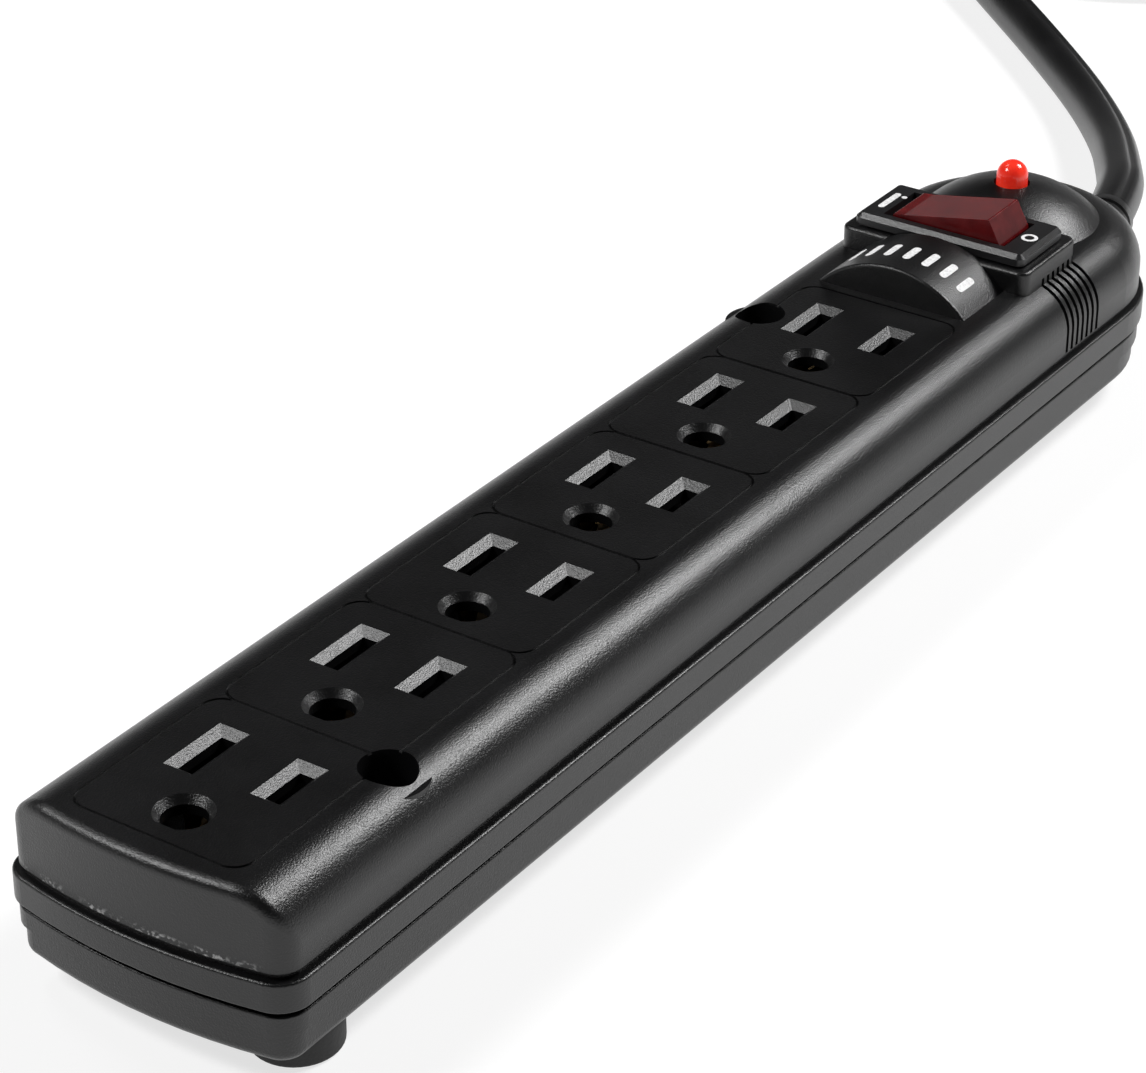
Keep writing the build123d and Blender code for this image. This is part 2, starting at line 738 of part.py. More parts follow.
def make_resistor():
    x = board_x + board_size[0] / 2 - 2.9
    z = board_bottom + board_thickness + 1.5
    body = Pos(x, 6.4, z) * Cylinder(1.1, 5.0, rotation=(90, 0, 0))
    for side in (-1, 1):
        body += rod(x, 6.4 + side * 3.6, board_bottom + board_thickness, z + 0.3, 0.3)
        body += Pos(x, 6.4 + side * 3.0, z) * Cylinder(0.3, 1.8, rotation=(90, 0, 0))
    return body


def make_board_pins():
    return [rod(board_pin_x, y, bus_top, board_bottom, 0.5) for y in (-blade_y, 0, blade_y)]


def make_wires():
    """Four insulated wires inside, each laid along its own hand-picked route."""
    bus_z = tray_top + conductor_radius + 0.15
    start = jacket_end
    z = cord_exit_z
    tab_x = switch_x + terminal_size[0] / 2
    floor_z = inside_floor + conductor_radius + 0.2
    line = [
        (start, 0, z + 2.3),
        (start - 8, 3.0, z + 1.5),
        (tab_x + 6, terminal_y - 0.6, tab_z + 0.3),
        (tab_x, terminal_y, tab_z),
    ]
    neutral = [
        (start, 2.1, z - 1.2),
        (start - 7, 5.2, floor_z + 1.0),
        (tab_x + 7, 10.2, floor_z),
        (switch_x - 3, 10.6, floor_z + 0.05),
        (bus_end + 6, 7.6, floor_z + 0.4),
        (bus_end - 0.2, blade_y, bus_z),
    ]
    ground = [
        (start, -2.1, z - 1.2),
        (start - 8, -2.6, floor_z + 1.2),
        (tab_x + 6, -1.6, floor_z),
        (switch_x - 4, -1.0, floor_z + 0.05),
        (bus_end + 6, -0.2, floor_z + 0.4),
        (bus_end - 0.2, 0, bus_z),
    ]
    switched = [
        (switch_x - terminal_size[0] / 2, -terminal_y, tab_z),
        (switch_x - 6, 0.5 - terminal_y, tab_z - 0.8),
        (bus_end + 6, -blade_y - 0.4, bus_z + 0.2),
        (bus_end - 0.2, -blade_y, bus_z),
    ]
    return {
        "line_wire": path_tube(line, conductor_radius),
        "neutral_wire": path_tube(neutral, conductor_radius),
        "ground_wire": path_tube(ground, conductor_radius),
        "switched_wire": path_tube(switched, conductor_radius),
    }


def make_clamp():
    width, thickness = clamp_bar
    low = cord_exit_z + 0.3
    bar = box(clamp_x, 0, low, width, 2 * clamp_screw_y + 5.0, cord_radius + thickness)
    bar = fillet(bar.edges().filter_by(Axis.X), 1.2)
    bar -= along_x(round_centre, half_width, cord_radius)
    for y in (-clamp_screw_y, clamp_screw_y):
        bar -= rod(clamp_x, y, 0, panel_height, clamp_screw_radius + fit_gap)
    return bar


def make_clamp_screws():
    seat = cord_exit_z + 0.3 + cord_radius + clamp_bar[1]
    screws = []
    for y in (-clamp_screw_y, clamp_screw_y):
        head = rod(clamp_x, y, seat, seat + 1.4, 2.1)
        head = fillet(head.edges().group_by(Axis.Z)[-1], 0.4)
        shank = rod(clamp_x, y, inside_floor + 0.5, seat + 0.5, clamp_screw_radius)
        drive = box(clamp_x, y, seat + 0.7, 2.6, 0.6, 2)
        screws.append(head + shank - drive)
    return screws


def along_x(start, length, radius, z=cord_exit_z):
    align = (Align.CENTER, Align.CENTER, Align.MIN)
    return Pos(start, 0, z) * Cylinder(radius, length, rotation=(0, 90, 0), align=align)


def make_jacket_end():
    return along_x(jacket_end, boot_inner_end - jacket_end, cord_radius)


def make_boot():
    """Moulded bend relief: a flange held inside the covers, a neck, and a tapered, bent sleeve."""
    flange = along_x(boot_inner_end, 2.0, boot_neck_radius + boot_flange)
    root = 0.3  # the sleeve starts this far outside the covers
    neck = along_x(boot_inner_end, body_end - boot_inner_end + 2 * root, boot_neck_radius)
    tip_radius = cord_radius + boot_tip_wall
    count = 5
    rings = []
    for i in range(count):
        share = i / (count - 1)
        angle = math.radians(boot_bend) * share
        x = body_end + root + boot_bend_radius * math.sin(angle) - root * share
        y = boot_bend_radius * (1 - math.cos(angle))
        radius = boot_root_radius + (tip_radius - boot_root_radius) * share
        direction = (math.cos(angle), math.sin(angle), 0)
        rings.append(Plane(origin=(x, y, cord_exit_z), z_dir=direction) * Circle(radius))
    return flange + neck + loft(rings)


def make_coil():
    half_ring = (coil_outer_mean - coil_inner_mean) / 2 + cord_radius
    high = coil_top_z + cord_radius
    section = RectangleRounded(2 * half_ring, high - coil_clear, cord_radius * 0.9)
    place = Plane.XZ * Pos(coil_top_mean, (high + coil_clear) / 2)
    ring = revolve(place * section, Axis.Z)
    return Pos(*coil_centre, 0) * ring


def make_tie():
    """Strap round the coil's turns."""
    half_ring = (coil_outer_mean - coil_inner_mean) / 2 + cord_radius + tie_thickness
    high = coil_top_z + cord_radius + tie_thickness
    strap = box(coil_top_mean, 0, 0, 2 * half_ring, tie_width, high)
    strap = fillet(strap.edges().filter_by(Axis.Y), cord_radius)
    strap = Pos(*coil_centre, 0) * Rot(0, 0, tie_angle) * strap
    return strap - make_coil()


def make_plug_body():
    """Moulded straight plug: a tapered boot and a body, round the roots of its blades and pin."""
    middle_z = plug_size[2] / 2
    back = -plug_boot
    align = (Align.CENTER, Align.CENTER, Align.MIN)
    cone = Cone(8.5, cord_radius + 0.9, plug_boot + 1, align=align)
    boot = Pos(back - 1, 0, middle_z) * Rot(0, 90, 0) * cone
    body = box(back - plug_size[0] / 2, 0, 0, *plug_size)
    body = fillet(body.edges().filter_by(Axis.X), 5.0)
    body = fillet(body.edges().group_by(Axis.X)[-1], 3.0)
    body = fillet(body.edges().group_by(Axis.X)[0], 1.0)
    body += boot
    for piece in make_plug_blades():
        body -= piece
    return body - make_plug_ground_pin()


def make_plug_blades():
    root = 3.0  # how far each blade is moulded into the body
    blades = []
    for side, width in ((-1, 6.35), (1, 7.9)):
        middle = plug_front + (root - blade_length) / 2
        size = (blade_length + root, blade_thickness, width)
        blade = box(middle, side * blade_y, blade_z - width / 2, *size)
        tip = [e for e in blade.edges().filter_by(Axis.Y) if e.center().X < plug_front - root]
        blades.append(chamfer(tip, 1.0))
    return blades


def make_plug_ground_pin():
    root = 3.0
    align = (Align.CENTER, Align.CENTER, Align.MIN)
    pin = Cylinder(pin_radius, pin_length + root, rotation=(0, -90, 0), align=align)
    pin = Pos(plug_front + root, 0, blade_z + ground_offset) * pin
    return fillet(pin.edges().sort_by(Axis.X)[0], 1.8)


plug_place = Pos(tail_x, tail_route[-1][1], 0) * Rot(0, 0, 90)
nodes = {
    "top_cover": make_top_cover(),
    "bottom_cover": make_bottom_cover(),
    "rubber_feet": make_feet(),
    "case_screws": make_case_screws(),
    "contact_tray": make_tray(),
    "neutral_bus_bar": blade_bus(1),
    "hot_bus_bar": blade_bus(-1),
    "ground_bus_bar": make_ground_bus(),
    "switch_housing": make_switch_housing(),
    "switch_rocker": make_rocker(),
    "rocker_pivot_pin": make_pivot_pin(),
    "rocker_plunger": make_plunger(),
    "plunger_spring": make_plunger_spring(),
    "contact_bridge": make_bridge(),
    "bridge_post": make_bridge_post(),
    "load_terminal": make_load_terminal(),
    "line_terminal": make_line_terminal(),
    "breaker_strip": make_breaker_strip(),
    "power_lamp": make_lamp(),
    "lamp_wires": make_lamp_wires(),
    "surge_board": make_board(),
    "varistors": make_varistors(),
    "thermal_fuse": make_thermal_fuse(),
    "film_capacitor": make_capacitor(),
    "lamp_resistor": make_resistor(),
    "board_pins": make_board_pins(),
    "cord_clamp": make_clamp(),
    "clamp_screws": make_clamp_screws(),
    "cord_jacket_end": make_jacket_end(),
    "cord_boot": make_boot(),
    "power_cord": path_tube(cord_route, cord_radius),
    "cord_coil": make_coil(),
    "cord_tail": path_tube(tail_route, cord_radius),
    "coil_tie": make_tie(),
    "plug_body": plug_place * make_plug_body(),
    "plug_blades": [plug_place * blade for blade in make_plug_blades()],
    "plug_ground_pin": plug_place * make_plug_ground_pin(),
}
nodes.update(make_wires())

os.makedirs("parts", exist_ok=True)
for name, shape in nodes.items():
    solids = shape if isinstance(shape, list) else [shape]
    export_step(Compound(children=[s for part in solids for s in part.solids()]), f"parts/{name}.step")
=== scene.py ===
import math

import bmesh
import bpy
from mathutils import Matrix, Quaternion, Vector


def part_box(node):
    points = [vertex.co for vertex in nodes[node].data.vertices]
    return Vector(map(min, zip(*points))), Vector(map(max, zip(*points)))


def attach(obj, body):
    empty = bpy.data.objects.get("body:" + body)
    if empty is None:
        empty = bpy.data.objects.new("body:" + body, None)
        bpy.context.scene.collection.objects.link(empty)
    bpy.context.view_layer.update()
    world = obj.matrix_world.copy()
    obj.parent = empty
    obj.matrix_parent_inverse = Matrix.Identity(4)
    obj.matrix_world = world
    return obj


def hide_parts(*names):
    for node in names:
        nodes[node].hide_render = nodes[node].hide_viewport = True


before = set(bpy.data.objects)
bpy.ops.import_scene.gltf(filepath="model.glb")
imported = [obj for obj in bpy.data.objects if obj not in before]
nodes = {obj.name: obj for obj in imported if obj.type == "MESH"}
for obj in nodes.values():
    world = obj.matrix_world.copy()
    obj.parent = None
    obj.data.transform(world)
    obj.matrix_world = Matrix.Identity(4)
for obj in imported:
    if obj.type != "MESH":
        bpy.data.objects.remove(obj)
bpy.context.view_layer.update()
cover_low, cover_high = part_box("top_cover")
round_end = cover_high.x
square_end = cover_low.x


# ---- Camera
# A long lens looks down on the outlets from beside the square end, along the strip towards the
# switch. Its distance is measured from the middle of the outlet panel.
aim = Vector((-0.0281, -0.001, 0.028))
camera_distance = 0.4705
azimuth, elevation, roll = (math.radians(a) for a in (-55.888, 29.681, 0.2))
back = Vector((
    math.sin(azimuth) * math.cos(elevation),
    -math.cos(azimuth) * math.cos(elevation),
    math.sin(elevation),
))
camera = bpy.data.objects.new("camera", bpy.data.cameras.new("camera"))
bpy.context.scene.collection.objects.link(camera)
camera.location = aim + back * camera_distance
camera.rotation_mode = "QUATERNION"
camera.rotation_quaternion = (-back).to_track_quat("-Z", "Y") @ Quaternion((0, 0, 1), roll)
camera.data.lens = 110.66
camera.data.sensor_width = 36
camera.data.clip_start = 0.02
bpy.context.scene.camera = camera
bpy.context.scene.view_settings.view_transform = "Standard"


# ---- Cord jacket
# Soft black PVC over three cores, extruded with a shallow groove down each side of the middle
# core, satin, with a faint bloom and a fine grain.
class Wire:
    """One output in a finish's nodes. Sums and products of it add Math nodes."""

    def __init__(self, tree, output):
        self.tree = tree
        self.output = output

    def node(self, kind, settings, inputs, output=0):
        made = self.tree.nodes.new("ShaderNode" + kind)
        for name, value in settings.items():
            setattr(made, name, value)
        for name, value in inputs.items():
            if isinstance(value, Wire):
                self.tree.links.new(value.output, made.inputs[name])
            else:
                made.inputs[name].default_value = value
        return Wire(self.tree, made.outputs[output])

    def math(self, operation, a, b=0.0, clamp=False):
        return self.node("Math", {"operation": operation, "use_clamp": clamp}, {0: a, 1: b})

    def __add__(self, other):
        return self.math("ADD", self, other)

    def __sub__(self, other):
        return self.math("SUBTRACT", self, other)

    def __rsub__(self, other):
        return self.math("SUBTRACT", other, self)

    def __mul__(self, other):
        return self.math("MULTIPLY", self, other)

    def __truediv__(self, other):
        return self.math("DIVIDE", self, other)

    def __abs__(self):
        return self.math("ABSOLUTE", self)

    __radd__ = __add__
    __rmul__ = __mul__

    def over(self, low, high):
        """0 below low, 1 above high, and straight in between."""
        return self.math("DIVIDE", self - low, high - low, clamp=True)

    def noise(self, scale, detail=2.0):
        return self.node("TexNoise", {}, {"Vector": self, "Scale": scale, "Detail": detail})

    def tint(self, low, high):
        """A colour from low at 0 to high at 1."""
        ends = {6: (*low, 1), 7: (*high, 1)}
        return self.node("Mix", {"data_type": "RGBA"}, {0: self, **ends}, output=2)

    def into(self, shader, name):
        self.tree.links.new(self.output, shader.inputs[name])

    def bump(self, shader, depth):
        made = self.node("Bump", {}, {"Height": self, "Strength": 1.0, "Distance": depth})
        made.into(shader, "Normal")


def finish(name):
    """A new material, its shader and the piece's own coordinates, in metres."""
    made = bpy.data.materials.new(name)
    made.use_nodes = True
    shader = made.node_tree.nodes["Principled BSDF"]
    place = made.node_tree.nodes.new("ShaderNodeTexCoord").outputs["Object"]
    return made, shader, Wire(made.node_tree, place)


def moulding(name, dark, light, roughness, grain, depth, spread=0.06):
    """Moulded plastic or rubber: a fine grain, slow changes of shade and a few pale specks."""
    made, shader, place = finish(name)
    slow = place.noise(70.0, 3.0)
    fine = place.noise(grain, 3.0)
    specks = place.noise(900.0, 1.0).over(0.76, 0.84) * 0.5
    shade = slow.over(0.3, 0.7) * 0.75 + specks
    shade.tint(dark, light).into(shader, "Base Color")
    (roughness - spread + slow * spread + fine * spread).into(shader, "Roughness")
    fine.bump(shader, depth)
    return made, shader


jacket, _ = moulding("cord_jacket", (0.003, 0.003, 0.0033), (0.008, 0.008, 0.0085), 0.32, 2600.0, 4e-5)

cord_radius = 0.0041
boot_length, boot_bend = 0.020, math.radians(14.0)
boot_radius = boot_length / boot_bend
exit_height = 0.01095
boot_tip = (
    round_end + boot_radius * math.sin(boot_bend),
    boot_radius * (1 - math.cos(boot_bend)),
    exit_height,
)
cord_points = [
    (0.03135, 0.0054, 0.0065),
    (0.04385, 0.0119, 0.0045),
    (0.05985, 0.0210, 0.0021),
    (0.07985, 0.0363, 0.0003),
    (0.09985, 0.0560, 0.0001),
    (0.11835, 0.0758, 0.0003),
    (0.13585, 0.0946, 0.0006),
    (0.15185, 0.11125, 0.0009),
]
route = [boot_tip] + [(round_end + x, y, cord_radius + z) for x, y, z in cord_points]

# The coil is wound clockwise: two turns lie side by side on the floor, and the last half turn lies
# in the groove between them.
coil_middle = Vector((round_end + 0.18577, 0.07872))
outer_turn, inner_turn = 0.0470, 0.0388
top_turn = (outer_turn + inner_turn) / 2
low_layer = 0.005
high_layer = low_layer + cord_radius * math.sqrt(3)
lap = 2 * math.pi
start_angle = math.atan2(route[-1][1] - coil_middle.y, route[-1][0] - coil_middle.x)
leave_angle = math.radians(-12.0)
whole_turn = start_angle - leave_angle + 2 * lap
turn_step = math.radians(15.0)
inward_from, inward_to = math.radians(302.0), math.radians(360.0)
upward_from, upward_to = math.radians(604.0), math.radians(664.0)


def eased(turned, first, last):
    """0 before first, 1 after last, and a smooth change from one to the other."""
    share = min(max((turned - first) / (last - first), 0.0), 1.0)
    return share * share * (3 - 2 * share)


steps = round(whole_turn / turn_step)
# The curve runs inside its control points, so these are held out by this much.
hold_out = 4 / (3 + math.cos(turn_step))
for i in range(1, steps + 1):
    turned_by = whole_turn * i / steps
    angle = start_angle - turned_by
    inward = eased(turned_by, inward_from, inward_to)
    upward = eased(turned_by, upward_from, upward_to)
    reach = outer_turn + (inner_turn - outer_turn) * inward + (top_turn - inner_turn) * upward
    height = low_layer + (high_layer - low_layer) * upward
    spot = coil_middle + hold_out * reach * Vector((math.cos(angle), math.sin(angle)))
    route.append((spot.x, spot.y, height))
# The tail runs straight out to the plug, which lies on the floor on its broad side.
tail_x = coil_middle.x + top_turn - 0.0044
tail_start, tail_end = coil_middle.y - 0.0252, coil_middle.y - 0.0400
plug_middle = 0.012
route += [(tail_x, tail_start, high_layer), (tail_x, tail_end, plug_middle)]

# The jacket's section, drawn once and carried along the cord.
section_data = bpy.data.curves.new("jacket_section", "CURVE")
section_data.dimensions = "2D"
outline = section_data.splines.new("POLY")
section_points = 48
groove_angles = (math.radians(62.0), math.radians(242.0))
groove_width = 0.17  # in radians, from its middle to where it is a third as deep
groove_share = 0.13  # of the jacket's radius
outline.points.add(section_points - 1)
for i, point in enumerate(outline.points):
    angle = lap * i / section_points
    cut = sum(math.exp(-(((angle - at) / groove_width) ** 2)) for at in groove_angles)
    reach = cord_radius * (1 - groove_share * cut)
    point.co = (reach * math.cos(angle), reach * math.sin(angle), 0, 1)
outline.use_cyclic_u = True
section = bpy.data.objects.new("jacket_section", section_data)
bpy.context.scene.collection.objects.link(section)
section.hide_render = True
section.hide_viewport = True

cord_data = bpy.data.curves.new("mains_cord", "CURVE")
cord_data.dimensions = "3D"
spline = cord_data.splines.new("NURBS")
spline.points.add(len(route) - 1)
for point, at in zip(spline.points, route):
    point.co = (*at, 1)
spline.order_u = 3
spline.use_endpoint_u = True
spline.resolution_u = 8
spline.use_smooth = True
cord_data.twist_mode = "Z_UP"
cord_data.bevel_mode = "OBJECT"
cord_data.bevel_object = section
cord_data.use_fill_caps = True
mains_cord = bpy.data.objects.new("mains_cord", cord_data)
bpy.context.scene.collection.objects.link(mains_cord)
cord_data.materials.append(jacket)
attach(mains_cord, "root")
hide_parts("power_cord", "cord_coil", "cord_tail")


# ---- Cord boot
# A bend relief moulded on the jacket. Its root fills the hole between the covers, and its sleeve
# tapers towards the tip with ring-shaped slots that let it bend.
def piece(name, mesh, material, body="root", smooth=40.0):
    """Puts a finished bmesh in the scene as a piece that rides on a body."""
    data = bpy.data.meshes.new(name)
    bmesh.ops.recalc_face_normals(mesh, faces=mesh.faces)
    mesh.to_mesh(data)
    mesh.free()
    data.materials.append(material)
    made = bpy.data.objects.new(name, data)
    bpy.context.scene.collection.objects.link(made)
    data.shade_smooth()
    data.set_sharp_from_angle(angle=math.radians(smooth))
    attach(made, body)
    return made


def turned(mesh, rings, sides=48):
    """A round bar along +X from (distance, radius) rings, closed at both ends."""
    first = bmesh.ops.create_circle(mesh, cap_ends=True, radius=rings[0][1], segments=sides)
    turn = Matrix.Rotation(math.radians(90.0), 4, "Y")
    bmesh.ops.transform(mesh, matrix=turn, verts=first["verts"])
    bmesh.ops.translate(mesh, vec=(rings[0][0], 0, 0), verts=first["verts"])
    face = first["verts"][0].link_faces[0]
    for (before, old), (after, new) in zip(rings, rings[1:]):
        made = bmesh.ops.extrude_discrete_faces(mesh, faces=[face])
        face = made["faces"][0]
        middle = face.calc_center_median()
        scale = Matrix.Diagonal((1, new / old, new / old, 1))
        space = Matrix.Translation(-middle)
        bmesh.ops.transform(mesh, matrix=scale, space=space, verts=face.verts)
        bmesh.ops.translate(mesh, vec=(after - before, 0, 0), verts=face.verts)


boot_root, boot_end = 0.0056, 0.00455
boot_inside = 0.008  # how far its root reaches into the strip
root_radius = boot_root - 0.0007
rings = [(-boot_inside, root_radius), (0.0002, root_radius), (0.0004, boot_root)]
slot_count = 6
first_slot, slot_pitch = 0.0025, 0.0028
slot_profile = ((0.0, 0.0), (0.0002, 0.0006), (0.0010, 0.0006), (0.0012, 0.0))
for i in range(slot_count):
    for step, cut in slot_profile:
        distance = first_slot + slot_pitch * i + step
        taper = boot_root + (boot_end - boot_root) * distance / boot_length
        rings.append((distance, taper - cut))
rings += [(boot_length - 0.0004, boot_end + 0.0001), (boot_length, boot_end - 0.0002)]
boot_mesh = bmesh.new()
turned(boot_mesh, rings)
for vert in boot_mesh.verts:
    if vert.co.x > 0:
        bend = vert.co.x / boot_radius
        reach = boot_radius - vert.co.y
        vert.co.x = reach * math.sin(bend)
        vert.co.y = boot_radius - reach * math.cos(bend)
bmesh.ops.translate(boot_mesh, vec=(round_end, 0, exit_height), verts=boot_mesh.verts)
boot = piece("cord_bend_relief", boot_mesh, jacket)
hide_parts("cord_boot")


# ---- Coil strap
# A woven hook-and-loop strap drawn tight round the coil's three runs of cord, in a fine twill.
strap_cloth, strap_shader, place = finish("strap_cloth")
weave = place.node(
    "TexWave", {"wave_type": "BANDS", "bands_direction": "DIAGONAL"},
    {"Vector": place, "Scale": 520.0, "Distortion": 1.5, "Detail": 2.0}, output=1,
)
weave.tint((0.012, 0.012, 0.014), (0.05, 0.05, 0.055)).into(strap_shader, "Base Color")
(0.75 + weave * 0.15).into(strap_shader, "Roughness")
weave.bump(strap_shader, 1.5e-4)

strap_angle = math.radians(45.0)
strap_width = 0.012
strap_gap, strap_thickness = 0.0001, 0.00075
runs = ((outer_turn, low_layer), (inner_turn, low_layer), (top_turn, high_layer))
# A hull round three rollers is the strap's inner face, and one round larger rollers its outer face.
strap_mesh = bmesh.new()
for grown in (strap_gap, strap_gap + strap_thickness):
    rollers = []
    for offset, height in runs:
        lie = Matrix.Translation((offset, 0, height)) @ Matrix.Rotation(math.pi / 2, 4, "X")
        made = bmesh.ops.create_cone(
            strap_mesh, cap_ends=True, segments=40, radius1=cord_radius + grown,
            radius2=cord_radius + grown, depth=strap_width, matrix=lie,
        )
        rollers += made["verts"]
    hull = bmesh.ops.convex_hull(strap_mesh, input=rollers)
    unused = hull["geom_interior"] + hull["geom_unused"]
    spare = {g for g in unused if isinstance(g, bmesh.types.BMVert)}
    bmesh.ops.delete(strap_mesh, geom=list(spare), context="VERTS")


def width_of(face):
    sides = [v.co.y for v in face.verts]
    return max(sides) - min(sides)


caps = [f for f in strap_mesh.faces if width_of(f) < 1e-5]
bmesh.ops.delete(strap_mesh, geom=caps, context="FACES")
for side in (-1, 1):
    rim = [e for e in strap_mesh.edges if e.is_boundary and e.verts[0].co.y * side > 0]
    rim = [e for e in rim if e.verts[1].co.y * side > 0]
    bmesh.ops.bridge_loops(strap_mesh, edges=rim)
place_strap = Matrix.Translation((*coil_middle, 0)) @ Matrix.Rotation(strap_angle, 4, "Z")
bmesh.ops.transform(strap_mesh, matrix=place_strap, verts=strap_mesh.verts)
strap = piece("coil_strap", strap_mesh, strap_cloth)
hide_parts("coil_tie")


# ---- Mains plug
# A straight moulded plug: soft black PVC over nickel-plated blades and a ground pin, with finger
# ridges on its left and right sides.
plug_pvc, _ = moulding("plug_pvc", (0.008, 0.008, 0.009), (0.022, 0.022, 0.023), 0.42, 2200.0, 5e-5)
plug_low, plug_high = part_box("plug_body")
plug_x = (plug_low.x + plug_high.x) / 2
ridge_count, ridge_pitch = 7, 0.0028
ridges_y = plug_low.y + 0.0164
ridge_depth, ridge_width = 0.0011, 0.0013
ridge_length, ridge_shortens = 0.0125, 0.0006
for side, name in ((-1, "plug_ridges_left"), (1, "plug_ridges_right")):
    ridge_mesh = bmesh.new()
    for i in range(ridge_count):
        from_middle = i - (ridge_count - 1) / 2
        x = plug_x + side * (plug_high.x - plug_low.x) / 2
        y = ridges_y + ridge_pitch * from_middle
        length = ridge_length - ridge_shortens * abs(from_middle)
        made = bmesh.ops.create_cube(ridge_mesh, size=1.0)
        size = Matrix.Diagonal((ridge_depth, ridge_width, length, 1))
        shape = Matrix.Translation((x, y, plug_middle)) @ size
        bmesh.ops.transform(ridge_mesh, matrix=shape, verts=made["verts"])
    bmesh.ops.bevel(
        ridge_mesh, geom=ridge_mesh.edges[:], offset=0.0004, segments=3, profile=0.5,
        affect="EDGES", material=-1,
    )
    piece(name, ridge_mesh, plug_pvc)


# ---- Covers
# Two shells of black ABS, spark-eroded to a fine matt grain: the upper one carries the outlets,
# the hood, the switch block and the dome, and the lower one the feet and the screws.
def dress(material, *names):
    """Gives CAD nodes their finish."""
    for name in names:
        nodes[name].data.materials.clear()
        nodes[name].data.materials.append(material)


cover_black, cover_shader = moulding(
    "cover_black", (0.0022, 0.0022, 0.0024), (0.0065, 0.0065, 0.007), 0.32, 4200.0, 6e-5
)
# Pale grey flecks are mixed into the colour in a thin band along the foot of the square end, just above
# the groove.
cover_colour = Wire(cover_black.node_tree, cover_shader.inputs["Base Color"].links[0].from_socket)
place = Wire(cover_black.node_tree, cover_black.node_tree.nodes["Texture Coordinate"].outputs["Object"])
along = place.node("SeparateXYZ", {}, {"Vector": place}, output=0)
across = place.node("SeparateXYZ", {}, {"Vector": place}, output=1)
upward = place.node("SeparateXYZ", {}, {"Vector": place}, output=2)
fleck_band_height = 0.0177
at_end = 1 - along.over(square_end + 0.0045, square_end + 0.0065)
at_foot = 1 - abs(upward - fleck_band_height).over(0.0002, 0.0008)
flecks = place.noise(1500.0, 4.0).over(0.50, 0.62) * place.noise(160.0, 2.0).over(0.42, 0.6)
# A mask of pale grey flecks in that band, mixed into the cover's colour below.
pale_fleck_mask = at_end * at_foot * flecks * 0.8
fleck_grey = (0.4, 0.4, 0.4, 1)
flecked_colour = place.node("Mix", {"data_type": "RGBA"}, {0: pale_fleck_mask, 6: cover_colour, 7: fleck_grey}, output=2)
flecked_colour.into(cover_shader, "Base Color")
tub_black, _ = moulding(
    "tub_black", (0.0025, 0.0025, 0.0027), (0.007, 0.007, 0.0074), 0.34, 3800.0, 7e-5
)
dress(cover_black, "top_cover")
dress(tub_black, "bottom_cover")


# ---- Feet and screws
# Four turned rubber feet pressed into recesses, and six plated screws with cross recesses.
foot_rubber, _ = moulding("foot_rubber", (0.012, 0.012, 0.012), (0.03, 0.03, 0.03), 0.7, 1800.0, 8e-5)
dress(foot_rubber, "rubber_feet")


def metal(name, dark, light, roughness, marks=900.0):
    """Drawn or stamped metal: fine marks, with duller patches."""
    made, shader, place = finish(name)
    shader.inputs["Metallic"].default_value = 1.0
    patches = place.noise(260.0, 3.0)
    lines = place.noise(marks, 4.0)
    patches.over(0.3, 0.7).tint(dark, light).into(shader, "Base Color")
    (roughness - 0.08 + patches * 0.1 + lines * 0.08).into(shader, "Roughness")
    lines.bump(shader, 1e-5)
    return made


screw_steel = metal("screw_steel", (0.10, 0.10, 0.105), (0.2, 0.2, 0.21), 0.38)
spring_steel = metal("spring_steel", (0.36, 0.36, 0.37), (0.52, 0.52, 0.53), 0.3)
dress(screw_steel, "case_screws", "clamp_screws")
dress(spring_steel, "rocker_pivot_pin", "plunger_spring", "board_pins")


# ---- Contacts and wiring inside
# Stamped brass bars with spring clips on a nylon tray, insulated wires, and a small board.
brass = metal("brass", (0.20, 0.13, 0.05), (0.34, 0.23, 0.10), 0.34)
copper = metal("copper", (0.55, 0.24, 0.12), (0.7, 0.36, 0.2), 0.32)
bimetal = metal("bimetal", (0.3, 0.28, 0.25), (0.45, 0.42, 0.36), 0.4)
nylon, _ = moulding("nylon", (0.42, 0.40, 0.34), (0.56, 0.54, 0.47), 0.5, 1500.0, 3e-5)
acetal, _ = moulding("acetal", (0.7, 0.7, 0.66), (0.8, 0.8, 0.77), 0.35, 1500.0, 2e-5)
dress(brass, "neutral_bus_bar", "hot_bus_bar", "ground_bus_bar")
dress(brass, "bridge_post", "load_terminal", "line_terminal")
dress(copper, "contact_bridge")
dress(bimetal, "breaker_strip")
dress(nylon, "contact_tray", "cord_clamp")
dress(acetal, "rocker_plunger")
insulation = {
    "line_wire": (0.012, 0.012, 0.012),
    "switched_wire": (0.012, 0.012, 0.012),
    "neutral_wire": (0.6, 0.6, 0.57),
    "ground_wire": (0.01, 0.16, 0.04),
    "lamp_wires": (0.3, 0.012, 0.012),
    "surge_board": (0.01, 0.10, 0.035),
    "varistors": (0.01, 0.06, 0.22),
    "film_capacitor": (0.55, 0.34, 0.03),
    "thermal_fuse": (0.75, 0.72, 0.66),
    "lamp_resistor": (0.45, 0.33, 0.2),
}
for name, colour in insulation.items():
    pale = tuple(min(c * 1.35 + 0.01, 1.0) for c in colour)
    skin, _ = moulding(name, colour, pale, 0.38, 1600.0, 2e-5)
    dress(skin, name)
dress(jacket, "cord_jacket_end")
dress(plug_pvc, "plug_body")
nickel = metal("nickel", (0.52, 0.5, 0.46), (0.7, 0.68, 0.62), 0.2)
dress(nickel, "plug_blades", "plug_ground_pin")


